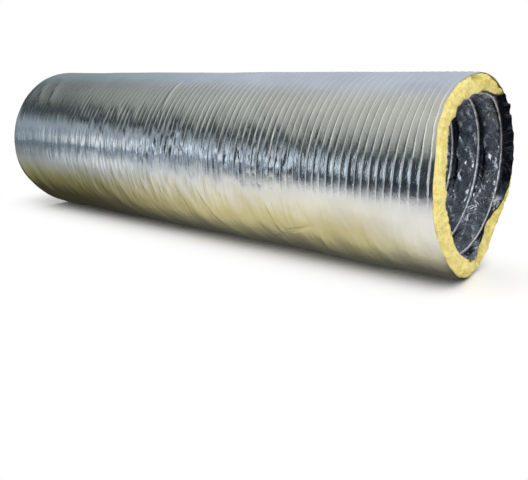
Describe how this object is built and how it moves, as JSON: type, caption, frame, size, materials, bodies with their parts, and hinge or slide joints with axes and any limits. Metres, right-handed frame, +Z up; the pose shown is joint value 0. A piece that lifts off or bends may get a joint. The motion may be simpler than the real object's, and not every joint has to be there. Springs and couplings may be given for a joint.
{
  "type": "flexible air duct",
  "caption": "Cut length of insulated flexible air duct: foil core on a steel wire helix, wool blanket and ridged foil jacket, open at both ends.",
  "frame": {"origin": "on the floor under the middle of the duct's length and axis", "axes": "+X along the duct towards the near end of the picture, +Z up, +Y away from the picture's camera"},
  "size_m": [0.84, 0.256, 0.2555],
  "materials": {
    "jacket_foil": "crinkled metallised film over ridges of yarn",
    "glass_wool": "loose yellow glass fibre, cut by hand at both ends",
    "core_foil": "bright crumpled foil laminate",
    "spring_wire": "drawn spring steel wire"
  },
  "bodies": {
    "near_end": {"near_end_jacket": "jacket_foil", "near_end_wool_blanket": "glass_wool", "near_end_outer_ply": "core_foil", "near_end_wire_helix": "spring_wire", "near_end_inner_ply": "core_foil"},
    "near_middle": {"near_middle_jacket": "jacket_foil", "near_middle_wool_blanket": "glass_wool", "near_middle_outer_ply": "core_foil", "near_middle_wire_helix": "spring_wire", "near_middle_inner_ply": "core_foil"},
    "far_middle": {"far_middle_jacket": "jacket_foil", "far_middle_wool_blanket": "glass_wool", "far_middle_outer_ply": "core_foil", "far_middle_wire_helix": "spring_wire", "far_middle_inner_ply": "core_foil"},
    "far_end": {"far_end_jacket": "jacket_foil", "far_end_wool_blanket": "glass_wool", "far_end_outer_ply": "core_foil", "far_end_wire_helix": "spring_wire", "far_end_inner_ply": "core_foil"}
  },
  "joints": [
    {"name": "near_bend", "type": "hinge", "parent": "near_middle", "child": "near_end", "pos_m": [0.27, 0, 0.1275], "axis": [0, 0, 1], "range_deg": [-30, 30], "deforming": ["near_end_jacket", "near_end_wool_blanket", "near_end_outer_ply", "near_end_wire_helix", "near_end_inner_ply", "near_middle_jacket", "near_middle_wool_blanket", "near_middle_outer_ply", "near_middle_wire_helix", "near_middle_inner_ply"]},
    {"name": "concertina", "type": "slide", "parent": "near_middle", "child": "far_middle", "axis": [1, 0, 0], "range_m": [0, 0.12], "deforming": ["far_middle_jacket", "far_middle_wool_blanket", "far_middle_outer_ply", "far_middle_wire_helix", "far_middle_inner_ply"]},
    {"name": "far_bend", "type": "hinge", "parent": "far_middle", "child": "far_end", "pos_m": [-0.27, 0, 0.1275], "axis": [0, 0, -1], "range_deg": [-30, 30], "deforming": ["far_end_jacket", "far_end_wool_blanket", "far_end_outer_ply", "far_end_wire_helix", "far_end_inner_ply"]}
  ]
}
